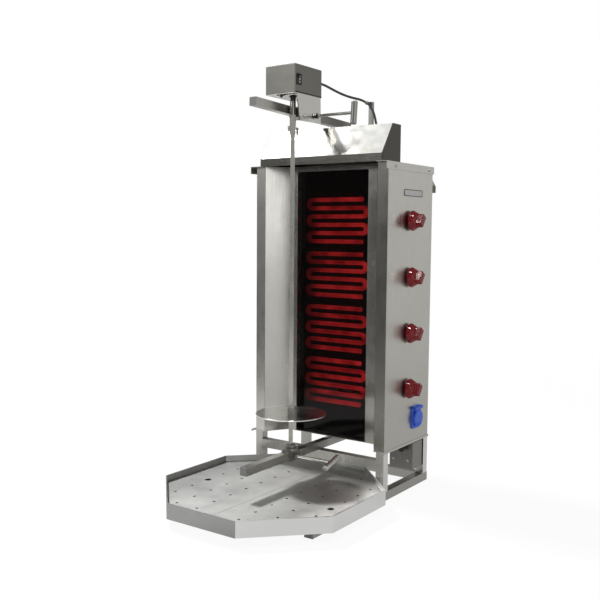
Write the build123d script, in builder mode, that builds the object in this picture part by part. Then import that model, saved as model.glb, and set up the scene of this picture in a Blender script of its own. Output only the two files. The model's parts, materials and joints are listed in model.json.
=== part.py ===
from build123d import *
import math
import os

os.makedirs("parts", exist_ok=True)

# Frame: X to the right, Y to the back, Z up, origin on the floor under the middle of the grill.
# The knobs are on the right side. All sizes are in millimetres.

# Housing, the upright box behind the spit
half_width = 225.0
housing_depth = 265.0
housing_base = 140.0
housing_height = 800.0
face_y = 106.0
sheet = 1.5
flange_width = 32.0
housing_top = housing_base + housing_height
back_y = face_y + housing_depth
panel_height = housing_height - sheet
vent_width = 70.0
vent_height = 6.0

# Lid, bottom plate and hood
lid_left = -half_width - 15.0
lid_right = half_width + 2.0
lid_front = face_y - 11.0
lid_back = back_y + 5.0
lid_lip = 21.0
lid_screw_y = (face_y + 39.0, face_y + 240.0)
lid_screw_z = housing_top - 11.5
base_lip = 6.0
base_front = face_y - 4.0
base_back = back_y + 3.0
hood_half = 207.9
hood_height = 106.4
hood_back = face_y + 97.2
hood_vent_height = 8.0

# Niche, the splayed space in front of the glass
niche_front = half_width - flange_width
niche_back = 151.6
niche_depth = 68.6
frame_y = face_y + niche_depth
reflector_sheet = 1.0

# Stand of square tube
stand_tube = 25.0
stand_wall = 2.0
runner_reach = 343.0
cross_rail_base = 89.0
post_x = half_width - stand_tube / 2
front_post_y = face_y + stand_tube / 2
rear_post_y = back_y - stand_tube / 2

# Rails, and the saddles that slide on them
rail_side = 22.0
rail_wall = 2.0
slide_gap = 0.3
saddle_wall = 3.0
saddle_side = rail_side + 2 * (slide_gap + saddle_wall)
top_rail_x = -26.0
top_rail_reach = 267.4
top_rail_length = 460.0
top_rail_z = 1082.4
top_rail_tilt = 2.1
bottom_rail_x = -3.0
bottom_rail_reach = 331.0
bottom_rail_z = cross_rail_base + stand_tube + rail_side / 2
column_y = face_y + 159.0
column_foot = 3.0

# Spit, its disc and its drive
spit_x = -4.0
spit_y = face_y - 123.0
spit_side = 12.0
spit_turn = 36.0
spit_top = 1045.0
journal_radius = 5.0
journal_base = 143.3
journal_top = 158.5
bearing_top = 155.0
disc_radius = 98.5
disc_base = 240.0
disc_thickness = 3.0
hub_side = 18.0
hub_height = 23.0
shaft_radius = 6.0
sleeve_radius = 8.0
bushing_radius = 7.2
bushing_length = 13.0
coupling_side = 17.0
coupling_base = 1010.0
coupling_top = 1062.0
pin_radius = 3.0
pin_z = 1026.0
pin_leg = 12.5
fit_gap = 0.05

# Motor box and its carriage
motor_left = -71.0
motor_right = 28.0
motor_front = face_y - 158.0
motor_back = face_y - 32.0
motor_base_z = 1117.0
motor_top_z = 1192.0
motor_sheet = 1.2
base_plate_thickness = 2.0
bracket_sheet = 3.0
shaft_hole_radius = 12.0
switch_y = face_y - 140.5
switch_z = 1152.5
rocker_tilt = 8.0
rocker_pivot = motor_right - 3
pivot_radius = 1.5
gearbox_height = 21.0
shaft_reach = 16.0

# Clamp screws with a crossbar
clamp_radius = 4.0
clamp_nut_radius = 8.0
clamp_nut_length = 8.0
bar_radius = 8.5
top_bar_length = 62.0
lower_bar_length = 68.0
top_clamp_y = face_y - 63.0
top_clamp_z = 1064.5
top_clamp_end = 153.0
top_bar_lean = 5.0
lower_clamp_y = spit_y
lower_clamp_z = 124.0
lower_clamp_end = 134.0
lower_bar_lean = 74.0

# Controls on the right side
knob_y = face_y + 131.0
knob_z = (781.0, 621.0, 461.0, 301.0)
knob_radius = 28.0
knob_base = half_width + 3.4
knob_height = 38.0
skirt_height = 17.0
neck_radius = 16.5
grip_length = 42.0
grip_width = 17.0
grip_turn = 18.0
spindle_radius = 3.0
spindle_round_end = knob_base + 5.0
spindle_end = knob_base + 21.0
regulator_side = 46.0
regulator_depth = 34.0

# Socket for a second appliance, with a spring lid
socket_y = face_y + 185.0
socket_z = 209.0
socket_width = 54.0
socket_height = 67.0
flange_thickness = 5.0
flange_face = half_width + flange_thickness
recess_z = socket_z - 4.0
recess_radius = 19.7
recess_depth = 17.5
hinge_z = socket_z + 28.0
hinge_x = flange_face + 4.0
hinge_pin_radius = 1.6

# Junction box and mains gland under the housing
box_left = 146.0
box_right = 222.5
box_front = face_y + 178.0
box_back = face_y + 236.0
box_base = 50.0
box_top = 130.0
box_x = (box_left + box_right) / 2
box_y = (box_front + box_back) / 2
box_z = (box_base + box_top) / 2
cover_screws = ((160.0, 75.0), (208.0, 75.0))
mains_x = 194.0
mains_y = face_y + 161.0
mains_bore = 5.0
mains_length = 34.0
wire_hole_radius = 12.0

# Glass, its frame and the heating elements behind it
window_half = 122.7
window_top = housing_base + 785.7
frame_top = housing_top - sheet
glass_y = face_y + 89.0
glass_thickness = 4.0
glass_half = niche_back - 1.6
glass_base = housing_base + 1.0
glass_height = frame_top - glass_base - 1.0
glass_z = glass_base + glass_height / 2
pan_front = glass_y + glass_thickness
pan_depth = 24.0
pan_back = pan_front + pan_depth
pan_width = 2 * glass_half - 4.0
pan_height = glass_height - 4.0
element_width = 12.0
element_depth = 8.0
element_pitch = 24.6
element_left = -89.0
element_right = 88.0
element_passes = 6
element_y = pan_front + 1.5
board_front = element_y + element_depth
board_thickness = pan_back - sheet - board_front
terminal_x = element_right - 4.0
terminal_radius = 3.0
pan_bar_z = (701.0, 381.0)

# Drip tray, an octagon on the runners
tray_half = 279.0
tray_front = face_y - 504.0
tray_back = face_y + 86.0
tray_cut = 167.5
tray_base = stand_tube
tray_rim = 66.5
hem_width = 3.0
hem_height = 6.0
ledge_width = 9.0
plate_top = 48.0
plate_seam = 8.0
plate_gap = 2.5
seam_gap = 1.0
plate_hole_radius = 4.0
finger_hole_radius = 9.0
hole_row_front = face_y - 447.0
hole_row_pitch = 65.6
hole_columns = (
    (-199.0, (1, 2, 4, 5)),
    (-130.0, (0, 1, 2, 3, 4, 5, 6)),
    (-61.0, (0, 1, 2, 3, 4, 5, 6)),
    (77.0, (0, 1, 2, 3, 4, 5, 6, 7)),
    (146.0, (1, 2, 3, 4, 5, 6, 7)),
    (215.0, (2, 4, 5, 6)),
)
finger_holes = ((-199.0, face_y - 250.0), (215.0, face_y - 250.0))

# Motor cable, which runs from the motor box over its post and into the lid
cable_radius = 3.5
cable_route = (
    (-8, face_y - 20, 1167),
    (-8, face_y + 25, 1167),
    (-9, face_y + 70, 1161),
    (-6, face_y + 115, 1153),
    (2, face_y + 158, 1147),
    (24, face_y + 192, 1142),
    (48, face_y + 201, 1124),
    (61, face_y + 202, 1096),
    (69, face_y + 202, 1060),
    (73, face_y + 201, 1018),
    (74, face_y + 200, 976),
    (74, face_y + 200, 952),
)
cable_post_x = 41.0
cable_post_y = face_y + 216.0
cable_post_top = housing_top + 196.0
cable_post_side = 12.0


# Planes to draw on

def upright(x, y, z):
    """A plane that looks up, with X and Y as its own axes."""
    return Plane(origin=(x, y, z))


def outward(x, y, z):
    """A plane that looks to the right, with Y and Z as its own axes."""
    return Plane(origin=(x, y, z), x_dir=(0, 1, 0), z_dir=(1, 0, 0))


def forward(x, y, z):
    """A plane that looks to the front, with X and Z as its own axes."""
    return Plane(origin=(x, y, z), x_dir=(1, 0, 0), z_dir=(0, -1, 0))


def backward(x, y, z):
    """A plane that looks to the back."""
    return Plane(origin=(x, y, z), x_dir=(1, 0, 0), z_dir=(0, 1, 0))


turn = math.radians(spit_turn)
spit_across = (math.cos(turn), math.sin(turn), 0)
spit_facing = (math.sin(turn), -math.cos(turn), 0)


def around_spit(z):
    """A plane that looks up on the spit's axis, turned with the flats of the bar."""
    return Plane(origin=(spit_x, spit_y, z), x_dir=spit_across, z_dir=(0, 0, 1))


tilt = math.radians(top_rail_tilt)
rail_run = (0, math.cos(tilt), -math.sin(tilt))


def along_top_rail(y):
    """A plane square to the top rail, on its centre line over a given Y."""
    z = top_rail_z - math.tan(tilt) * (y - face_y + top_rail_reach)
    return Plane(origin=(top_rail_x, y, z), x_dir=(1, 0, 0), z_dir=rail_run)


# Forms that several pieces share

def write_step(piece, name):
    """Label a finished piece and write its file."""
    piece.part.label = name
    export_step(piece.part, f"parts/{name}.step")


def block(plane, width, height, depth, radius=0.0, mode=Mode.ADD):
    """A block drawn on a plane, with rounded corners where a radius is given."""
    with BuildSketch(plane) as profile:
        if radius:
            RectangleRounded(width, height, radius)
        else:
            Rectangle(width, height)
    extrude(profile.sketch, amount=depth, mode=mode)


def boss(plane, radius, depth, mode=Mode.ADD):
    """A round boss drawn on a plane, or a round hole where it is taken away."""
    with BuildSketch(plane) as profile:
        Circle(radius)
    extrude(profile.sketch, amount=depth, mode=mode)


def hexagon(plane, radius, depth):
    """A hexagonal boss, for nuts and glands."""
    with BuildSketch(plane) as profile:
        RegularPolygon(radius=radius, side_count=6)
    extrude(profile.sketch, amount=depth)


def holes(plane, places, radius, depth):
    """Round holes at places on a plane."""
    with BuildSketch(plane) as profile:
        with Locations(*places):
            Circle(radius)
    extrude(profile.sketch, amount=depth, mode=Mode.SUBTRACT)


def square_tube(plane, length, side, wall):
    """A hollow square tube that starts on a plane and runs along its normal."""
    with BuildSketch(plane) as profile:
        Rectangle(side, side)
        Rectangle(side - 2 * wall, side - 2 * wall, mode=Mode.SUBTRACT)
    extrude(profile.sketch, amount=length)


def folded(plane, points, thickness, length, side=Side.LEFT):
    """A folded sheet: an open line with a thickness, extruded along a plane's normal."""
    with BuildSketch(plane) as profile:
        with BuildLine():
            Polyline(*points)
            offset(amount=thickness, side=side, kind=Kind.INTERSECTION)
        make_face()
    extrude(profile.sketch, amount=length)


def outline(plane, points, depth, mode=Mode.ADD):
    """A flat piece with straight edges."""
    with BuildSketch(plane) as profile:
        with BuildLine():
            Polyline(*points, close=True)
        make_face()
    extrude(profile.sketch, amount=depth, mode=mode)


def niche_plate(left, right, front, back):
    """The corners of a plate with the splayed niche cut from its front edge."""
    return [
        (left, front),
        (-niche_front, front),
        (-niche_front, face_y),
        (-niche_back, frame_y),
        (niche_back, frame_y),
        (niche_front, face_y),
        (niche_front, front),
        (right, front),
        (right, back),
        (left, back),
    ]


def end_cap(plane, side, wall):
    """A plastic cap on a tube's end: a plate outside and a plug inside."""
    block(plane, side, side, -2)
    block(plane, side - 2 * wall, side - 2 * wall, 10)


def pan_screw(plane, length):
    """A screw whose head sits on a plane and whose shank goes in behind it."""
    boss(plane, 4, 2.4)
    boss(plane, 2, -length)


# Stand

with BuildPart() as stand_runners:
    for side in (-1, 1):
        square_tube(
            forward(side * post_x, back_y, stand_tube / 2),
            housing_depth + runner_reach,
            stand_tube,
            stand_wall,
        )
write_step(stand_runners, "stand_runners")

cross_length = 2 * (half_width - stand_tube)
post_height = housing_base - sheet - stand_tube
cross_rails = (
    (front_post_y, cross_rail_base),
    (rear_post_y, cross_rail_base),
    (rear_post_y, 0),
)
with BuildPart() as stand_frame:
    for side in (-1, 1):
        for post_y in (front_post_y, rear_post_y):
            square_tube(upright(side * post_x, post_y, stand_tube), post_height, stand_tube, stand_wall)
    for rail_y, rail_base in cross_rails:
        rail_end = outward(-cross_length / 2, rail_y, rail_base + stand_tube / 2)
        square_tube(rail_end, cross_length, stand_tube, stand_wall)
write_step(stand_frame, "stand_frame")

# Housing sheets

with BuildPart() as bottom_plate:
    base_left = lid_left - 1
    outline(upright(0, 0, housing_base - sheet), niche_plate(base_left, lid_right, base_front, base_back), sheet)
    base_edge = [(lid_right, base_front), (lid_right, base_back), (base_left, base_back), (base_left, base_front)]
    folded(upright(0, 0, housing_base - base_lip), base_edge, sheet, base_lip - sheet)
    boss(upright(mains_x, mains_y, housing_base), mains_bore + 1, -sheet, mode=Mode.SUBTRACT)
    boss(upright(box_x, box_y, housing_base), wire_hole_radius, -sheet, mode=Mode.SUBTRACT)
write_step(bottom_plate, "bottom_plate")

with BuildPart() as side_panel_right:
    right_folds = [
        (niche_front, face_y),
        (half_width, face_y),
        (half_width, back_y - sheet),
        (half_width - 15, back_y - sheet),
    ]
    folded(upright(0, 0, housing_base), right_folds, sheet, panel_height)
    holes(outward(half_width, 0, 0), [(knob_y, z) for z in knob_z], 5.3, -sheet)
    holes(outward(half_width, 0, 0), [(y, lid_screw_z) for y in lid_screw_y], 2.1, -sheet)
    boss(outward(half_width, socket_y, recess_z), 24, -sheet, mode=Mode.SUBTRACT)
write_step(side_panel_right, "side_panel_right")

with BuildPart() as side_panel_left:
    left_folds = [(-x, y) for x, y in right_folds]
    folded(upright(0, 0, housing_base), left_folds, sheet, panel_height, side=Side.RIGHT)
write_step(side_panel_left, "side_panel_left")

with BuildPart() as rear_panel:
    block(forward(0, back_y, housing_base + panel_height / 2), 2 * half_width, panel_height, sheet)
    for row_z in (housing_base + 110, housing_top - 130):
        with BuildSketch(forward(0, back_y, row_z)):
            with GridLocations(110, 18, 3, 4):
                SlotOverall(vent_width, vent_height)
        extrude(amount=sheet, mode=Mode.SUBTRACT)
write_step(rear_panel, "rear_panel")

gland_x, gland_y, gland_top = cable_route[-1]
with BuildPart() as lid:
    outline(upright(0, 0, housing_top - sheet), niche_plate(lid_left, lid_right, lid_front, lid_back), sheet)
    lid_edge = [(lid_right, lid_front), (lid_right, lid_back), (lid_left, lid_back), (lid_left, lid_front)]
    folded(upright(0, 0, housing_top - lid_lip), lid_edge, sheet, lid_lip - sheet)
    holes(outward(lid_right, 0, 0), [(y, lid_screw_z) for y in lid_screw_y], 2.2, -sheet)
    boss(upright(gland_x, gland_y, housing_top), 8.2, -sheet, mode=Mode.SUBTRACT)
write_step(lid, "lid")

hood_profile = [
    (face_y - 4.8, housing_top),
    (face_y - 4.8, housing_top + 21.8),
    (face_y + 51.7, housing_top + hood_height),
    (hood_back, housing_top + hood_height),
]
with BuildPart() as hood:
    folded(outward(-hood_half, 0, 0), hood_profile, sheet, 2 * hood_half, side=Side.RIGHT)
    gusset = hood_profile + [(hood_back, housing_top)]
    outline(outward(-hood_half, 0, 0), gusset, sheet)
    outline(outward(hood_half, 0, 0), gusset, -sheet)
    hood_back_plane = forward(0, hood_back, housing_top + hood_height / 2)
    block(hood_back_plane, 2 * hood_half, hood_height, sheet)
    with BuildSketch(forward(0, hood_back, housing_top + hood_height * 0.6)):
        with GridLocations(96, 20, 4, 3):
            SlotOverall(vent_width, hood_vent_height)
    extrude(amount=sheet, mode=Mode.SUBTRACT)
write_step(hood, "hood")

with BuildPart() as side_reflectors:
    splay_right = [(niche_front, face_y + sheet), (niche_back, frame_y)]
    splay_left = [(-x, y) for x, y in splay_right]
    folded(upright(0, 0, housing_base), splay_right, reflector_sheet, panel_height, side=Side.RIGHT)
    folded(upright(0, 0, housing_base), splay_left, reflector_sheet, panel_height)
write_step(side_reflectors, "side_reflectors")


# Glass and its frame

def frame_outline(inset):
    """The corners of the glass frame, an upside-down U, drawn in by an inset."""
    outer = niche_back - inset
    inner = window_half + inset
    return [
        (-outer, housing_base),
        (-outer, frame_top - inset),
        (outer, frame_top - inset),
        (outer, housing_base),
        (inner, housing_base),
        (inner, window_top + inset),
        (-inner, window_top + inset),
        (-inner, housing_base),
    ]


frame_depth = glass_y - frame_y
with BuildPart() as glass_frame:
    outline(forward(0, glass_y, 0), frame_outline(0), frame_depth)
    outline(forward(0, glass_y, 0), frame_outline(sheet), frame_depth - sheet, mode=Mode.SUBTRACT)
write_step(glass_frame, "glass_frame")

with BuildPart() as glass_panel:
    block(forward(0, pan_front, glass_z), 2 * glass_half, glass_height, glass_thickness)
write_step(glass_panel, "glass_panel")

# Heating elements with their pan and insulation

element_half = element_pitch * (element_passes - 1) / 2
terminals = [(terminal_x, z + end * element_half) for z in knob_z for end in (-1, 1)]

with BuildPart() as heater_pan:
    block(forward(0, pan_back, glass_z), pan_width, pan_height, pan_depth)
    pan_floor = forward(0, pan_back - sheet, glass_z)
    block(pan_floor, pan_width - 2 * sheet, pan_height - 2 * sheet, pan_depth, mode=Mode.SUBTRACT)
    holes(forward(0, pan_back, 0), terminals, terminal_radius + 2, sheet)
    for z in pan_bar_z:
        bar_folds = [(pan_back + 18, z - 10), (pan_back, z - 10), (pan_back, z + 10), (pan_back + 18, z + 10)]
        folded(outward(sheet - half_width, 0, 0), bar_folds, sheet, 2 * (half_width - sheet), side=Side.RIGHT)
write_step(heater_pan, "heater_pan")

with BuildPart() as insulation_board:
    board_back = forward(0, board_front + board_thickness, glass_z)
    block(board_back, pan_width - 2 * sheet - 1, pan_height - 2 * sheet - 1, board_thickness)
    holes(forward(0, board_front + board_thickness, 0), terminals, terminal_radius + 2, board_thickness)
write_step(insulation_board, "insulation_board")


def element_line(middle_z):
    """The centre line of one serpentine element, from its upper to its lower end."""
    half_pitch = element_pitch / 2
    z = middle_z + element_half
    start, end = element_right, element_left
    for row in range(element_passes):
        Line((start, z), (end, z))
        if row < element_passes - 1:
            bulge = half_pitch if end > start else -half_pitch
            ThreePointArc((end, z), (end + bulge, z - half_pitch), (end, z - element_pitch))
        start, end = end, start
        z -= element_pitch


with BuildPart() as heating_elements:
    for z in knob_z:
        with BuildSketch(forward(0, element_y, 0)):
            with BuildLine():
                element_line(z)
            trace(line_width=element_width)
        extrude(amount=-element_depth)
    for x, z in terminals:
        boss(forward(x, board_front, z), terminal_radius, -board_thickness - 14)
write_step(heating_elements, "heating_elements")

# Rails, the column under the top rail and the cable's post

with BuildPart() as top_rail:
    square_tube(along_top_rail(face_y - top_rail_reach), top_rail_length, rail_side, rail_wall)
write_step(top_rail, "top_rail")

with BuildPart() as rail_column:
    square_tube(upright(top_rail_x, column_y, housing_top + column_foot), 160, rail_side, rail_wall)
    with BuildSketch(along_top_rail(column_y - 40)):
        with Locations((0, (rail_side - 200) / 2)):
            Rectangle(2 * rail_side, 200)
    extrude(amount=80, mode=Mode.SUBTRACT)
    block(upright(top_rail_x, column_y, housing_top), 60, 60, column_foot, radius=4)
write_step(rail_column, "rail_column")

with BuildPart() as bottom_rail:
    rail_back = forward(bottom_rail_x, back_y - 3, bottom_rail_z)
    square_tube(rail_back, housing_depth - 3 + bottom_rail_reach, rail_side, rail_wall)
write_step(bottom_rail, "bottom_rail")

with BuildPart() as tube_end_caps:
    end_cap(along_top_rail(face_y - top_rail_reach), rail_side, rail_wall)
    end_cap(backward(bottom_rail_x, face_y - bottom_rail_reach, bottom_rail_z), rail_side, rail_wall)
    for side in (-1, 1):
        end_cap(backward(side * post_x, face_y - runner_reach, stand_tube / 2), stand_tube, stand_wall)
        end_cap(forward(side * post_x, back_y, stand_tube / 2), stand_tube, stand_wall)
write_step(tube_end_caps, "tube_end_caps")

clip_from = Vector(*cable_route[5])
clip_to = Vector(*cable_route[6])
clip_middle = (clip_from + clip_to) / 2
clip_plane = Plane(origin=clip_middle, z_dir=clip_to - clip_from)
post_face = cable_post_y - cable_post_side / 2
with BuildPart() as cable_post:
    post_length = cable_post_top - housing_top - column_foot
    square_tube(upright(cable_post_x, cable_post_y, housing_top + column_foot), post_length, cable_post_side, 1.5)
    block(upright(cable_post_x, cable_post_y, housing_top), 40, 30, column_foot, radius=3)
    block(upright(cable_post_x, cable_post_y, cable_post_top), cable_post_side, cable_post_side, 1.5)
    block(forward(clip_middle.X + 2, post_face, clip_middle.Z), 5, 8, post_face - clip_middle.Y - 2)
    boss(clip_plane.offset(-3), cable_radius + 2.2, 6)
    boss(clip_plane.offset(-12), cable_radius + 0.2, 24, mode=Mode.SUBTRACT)
write_step(cable_post, "cable_post")

with BuildPart() as lid_gland:
    boss(upright(gland_x, gland_y, housing_top - 14), 8, 14)
    hexagon(upright(gland_x, gland_y, housing_top), 12, 5)
    boss(upright(gland_x, gland_y, housing_top + 5), 9, gland_top - housing_top - 5)
    chamfer(lid_gland.faces().sort_by(Axis.Z)[-1].edges(), 2)
    boss(upright(gland_x, gland_y, housing_top - 14), cable_radius, 26, mode=Mode.SUBTRACT)
write_step(lid_gland, "lid_gland")


# Motor cable, straight runs joined by tangent arcs

def route_radii(route):
    """The radius at each inner corner of a route, as large as its two runs allow."""
    radii = []
    for before, corner, after in zip(route, route[1:], route[2:]):
        first = Vector(*corner) - Vector(*before)
        second = Vector(*after) - Vector(*corner)
        half_turn = math.radians(first.get_angle(second)) / 2
        radii.append(0.45 * min(first.length, second.length) / math.tan(half_turn))
    return radii


cable_radii = route_radii(cable_route)
with BuildPart() as motor_cable:
    with BuildLine() as cable_line:
        FilletPolyline(*cable_route, radius=cable_radii)
    with BuildSketch(forward(*cable_route[0])):
        Circle(cable_radius)
    sweep(path=cable_line.wires()[0])
write_step(motor_cable, "motor_cable")
cable_length = cable_line.wires()[0].length
cable_section = math.pi * cable_radius ** 2
print("cable radii", [round(radius, 1) for radius in cable_radii])
print("cable length", round(cable_length, 1))
print("cable volume over section times length", round(motor_cable.part.volume / cable_section / cable_length, 4))


# Heat regulators with their spindles and knobs

def flatted_rod(plane, radius, depth, mode=Mode.ADD):
    """A round rod with one flat, or the hole that fits it."""
    with BuildSketch(plane) as profile:
        Circle(radius)
        with Locations((0, radius)):
            Rectangle(2 * radius, 0.6 * radius, mode=Mode.SUBTRACT)
    extrude(profile.sketch, amount=depth, mode=mode)


regulator_back = half_width - sheet - regulator_depth
with BuildPart() as regulators:
    for z in knob_z:
        block(outward(regulator_back, knob_y, z), regulator_side, regulator_side, regulator_depth, radius=3)
        boss(outward(half_width - sheet, knob_y, z), 5, sheet + 6)
        with BuildSketch(outward(regulator_back, knob_y, z)):
            with GridLocations(14, 24, 2, 2):
                Rectangle(6.3, 0.8)
        extrude(amount=-9)
    spindle_places = [(knob_y, z) for z in knob_z]
    holes(outward(regulator_back + 14, 0, 0), spindle_places, spindle_radius + fit_gap, 40)
write_step(regulators, "regulators")

for number, z in enumerate(knob_z, start=1):
    with BuildPart() as spindle:
        spindle_base = regulator_back + 16
        boss(outward(spindle_base, knob_y, z), spindle_radius, spindle_round_end - spindle_base)
        flatted_rod(outward(spindle_round_end, knob_y, z), spindle_radius, spindle_end - spindle_round_end)
    write_step(spindle, f"knob_spindle_{number}")

    with BuildPart() as knob:
        with BuildSketch(forward(knob_base, knob_y, z)):
            with BuildLine():
                Polyline((skirt_height, neck_radius), (skirt_height, 0), (0, 0), (0, knob_radius), (3, knob_radius))
                ThreePointArc((3, knob_radius), (7, 20.5), (skirt_height, neck_radius))
            make_face()
        revolve(axis=Axis((knob_base, knob_y, z), (1, 0, 0)))
        with BuildSketch(outward(knob_base + 4, knob_y, z)):
            SlotOverall(grip_length, grip_width, rotation=90 - grip_turn)
        extrude(amount=knob_height - 4, taper=2.5)
        fillet(knob.faces().sort_by(Axis.X)[-1].edges(), 2.5)
        boss(outward(knob_base, knob_y, z), knob_radius - 4, 2.2, mode=Mode.SUBTRACT)
        boss(outward(knob_base, knob_y, z), 8.6, 6, mode=Mode.SUBTRACT)
        flatted_rod(outward(knob_base + 6, knob_y, z), spindle_radius + fit_gap, 17, mode=Mode.SUBTRACT)
    write_step(knob, f"knob_{number}")

# Socket with its spring lid

with BuildPart() as socket_body:
    block(outward(half_width, socket_y, socket_z), socket_width, socket_height, flange_thickness, radius=9)
    fillet(socket_body.faces().sort_by(Axis.X)[-1].edges(), 2)
    boss(outward(half_width - 34, socket_y, recess_z), 23.5, 34)
    boss(outward(flange_face, socket_y, recess_z), recess_radius, -recess_depth, mode=Mode.SUBTRACT)
    pin_places = [(socket_y - 9.5, recess_z), (socket_y + 9.5, recess_z)]
    holes(outward(flange_face - recess_depth, 0, 0), pin_places, 2.6, -12)
    for end in (-1, 1):
        block(outward(flange_face, socket_y + end * 20, hinge_z), 6, 8, 7.5)
    boss(forward(hinge_x, socket_y + 24, hinge_z), hinge_pin_radius + fit_gap, 48, mode=Mode.SUBTRACT)
write_step(socket_body, "socket_body")

lid_face = flange_face + 0.6
with BuildPart() as socket_lid:
    boss(outward(lid_face, socket_y, recess_z), 25, 7)
    fillet(socket_lid.faces().sort_by(Axis.X)[-1].edges(), 2.5)
    block(outward(lid_face, socket_y, socket_z + 21), 26, 15, 5)
    boss(forward(hinge_x, socket_y + 16.6, hinge_z), 3.3, 33.2)
    boss(forward(hinge_x, socket_y + 22.5, hinge_z), hinge_pin_radius, 45)
    with BuildSketch(outward(lid_face + 7, socket_y, recess_z - 17)):
        SlotOverall(22, 5)
    extrude(amount=2)
write_step(socket_lid, "socket_lid")

# Junction box under the housing, and the mains gland beside it

box_width = box_right - box_left
box_height = box_top - box_base
box_depth = box_back - box_front
with BuildPart() as junction_box:
    block(forward(box_x, box_back, box_z), box_width, box_height, box_depth)
    box_floor = forward(box_x, box_back - sheet, box_z)
    block(box_floor, box_width - 2 * sheet, box_height - 2 * sheet, box_depth, mode=Mode.SUBTRACT)
    block(upright(box_x, box_y, box_top), 50, 40, housing_base - sheet - box_top)
    boss(upright(box_x, box_y, box_top - sheet), wire_hole_radius, 12, mode=Mode.SUBTRACT)
write_step(junction_box, "junction_box")

with BuildPart() as junction_box_cover:
    block(forward(box_x, box_front, box_z), box_width, box_height, sheet)
    holes(forward(0, box_front, 0), cover_screws, 2.2, sheet)
write_step(junction_box_cover, "junction_box_cover")

with BuildPart() as terminal_block:
    block(forward(box_x, box_back - sheet, 82), 48, 22, 20)
    with BuildSketch(forward(box_x, box_back - sheet - 20, 82)):
        with GridLocations(11, 10, 4, 2):
            Circle(3)
    extrude(amount=-8, mode=Mode.SUBTRACT)
write_step(terminal_block, "terminal_block")

mains_top = housing_base - sheet
with BuildPart() as mains_gland:
    hexagon(upright(mains_x, mains_y, mains_top), 13, -8)
    with BuildSketch(upright(mains_x, mains_y, mains_top - 8)):
        Circle(11)
    with BuildSketch(upright(mains_x, mains_y, mains_top - mains_length)):
        Circle(7.5)
    loft()
    boss(upright(mains_x, mains_y, mains_top), mains_bore, -mains_length, mode=Mode.SUBTRACT)
write_step(mains_gland, "mains_gland")

# Spacers that keep the warm rear panel off a wall, and the fasteners of the housing

spacer_top = housing_top - 24
with BuildPart() as wall_spacers:
    spacer_folds = [
        (back_y, spacer_top),
        (back_y, spacer_top - 14),
        (back_y + 24, spacer_top - 32),
        (back_y + 24, spacer_top - 50),
    ]
    for side in (-1, 1):
        folded(outward(side * (half_width - 10) - 8, 0, 0), spacer_folds, 3, 16)
write_step(wall_spacers, "wall_spacers")

with BuildPart() as housing_fasteners:
    for y in lid_screw_y:
        pan_screw(outward(lid_right, y, lid_screw_z), 7)
    for x, z in cover_screws:
        pan_screw(forward(x, box_front - sheet, z), 6)
    for x in (-22, 22):
        for y in (-22, 22):
            boss(upright(top_rail_x + x, column_y + y, housing_top + column_foot), 4, 2.4)
    for z in knob_z:
        with BuildSketch(outward(half_width, knob_y, z)):
            RegularPolygon(radius=8, side_count=6)
            Circle(5.1, mode=Mode.SUBTRACT)
        extrude(amount=2.6)
write_step(housing_fasteners, "housing_fasteners")

# Motor box, with the gear motor inside

motor_x = (motor_left + motor_right) / 2
motor_y = (motor_front + motor_back) / 2
motor_width = motor_right - motor_left
motor_length = motor_back - motor_front
motor_height = motor_top_z - motor_base_z
cable_x, cable_start, cable_z = cable_route[0]

with BuildPart() as motor_cover:
    box_foot = upright(motor_x, motor_y, motor_base_z)
    block(box_foot, motor_width, motor_length, motor_height, radius=2.5)
    fillet(motor_cover.faces().sort_by(Axis.Z)[-1].edges(), 1.6)
    inner_width = motor_width - 2 * motor_sheet
    inner_length = motor_length - 2 * motor_sheet
    block(box_foot, inner_width, inner_length, motor_height - motor_sheet, mode=Mode.SUBTRACT)
    block(outward(motor_right, switch_y, switch_z), 19, 28, -5, mode=Mode.SUBTRACT)
    boss(forward(cable_x, motor_back, cable_z), 6.2, 5, mode=Mode.SUBTRACT)
write_step(motor_cover, "motor_cover")

with BuildPart() as motor_base:
    base_z = motor_base_z - base_plate_thickness
    block(upright(motor_x, motor_y, base_z), motor_width - 2, motor_length - 2, base_plate_thickness, radius=3)
    boss(upright(spit_x, spit_y, base_z), shaft_hole_radius, base_plate_thickness, mode=Mode.SUBTRACT)
write_step(motor_base, "motor_base")

with BuildPart() as gear_motor:
    motor_can_z = motor_base_z + gearbox_height
    block(upright(-12, spit_y + 22, motor_base_z), 66, 84, gearbox_height, radius=8)
    boss(upright(-12, spit_y + 34, motor_can_z), 23, 42)
    boss(upright(-12, spit_y + 34, motor_can_z + 42), 8, 3)
    boss(upright(spit_x, spit_y, motor_base_z), shaft_radius + fit_gap, shaft_reach + 2, mode=Mode.SUBTRACT)
write_step(gear_motor, "gear_motor")

with BuildPart() as rocker_bezel:
    block(outward(motor_right, switch_y, switch_z), 21, 30, 2, radius=1.5)
    block(outward(motor_right, switch_y, switch_z), 18.6, 27.6, -16)
    block(outward(motor_right + 2, switch_y, switch_z), 15, 24, -12, mode=Mode.SUBTRACT)
    boss(forward(rocker_pivot, switch_y + 9, switch_z), pivot_radius + fit_gap, 18, mode=Mode.SUBTRACT)
write_step(rocker_bezel, "rocker_bezel")

with BuildPart() as rocker_switch:
    rocker_plane = forward(rocker_pivot, switch_y + 7, switch_z).rotated((0, rocker_tilt, 0))
    with BuildSketch(rocker_plane):
        with BuildLine():
            Polyline((7.5, -11), (-2, -7), (-2, 7), (7.5, 11))
            ThreePointArc((7.5, 11), (5.5, 0), (7.5, -11))
        make_face()
    extrude(amount=14)
    boss(forward(rocker_pivot, switch_y + 8.5, switch_z), pivot_radius, 17)
write_step(rocker_switch, "rocker_switch")

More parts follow.
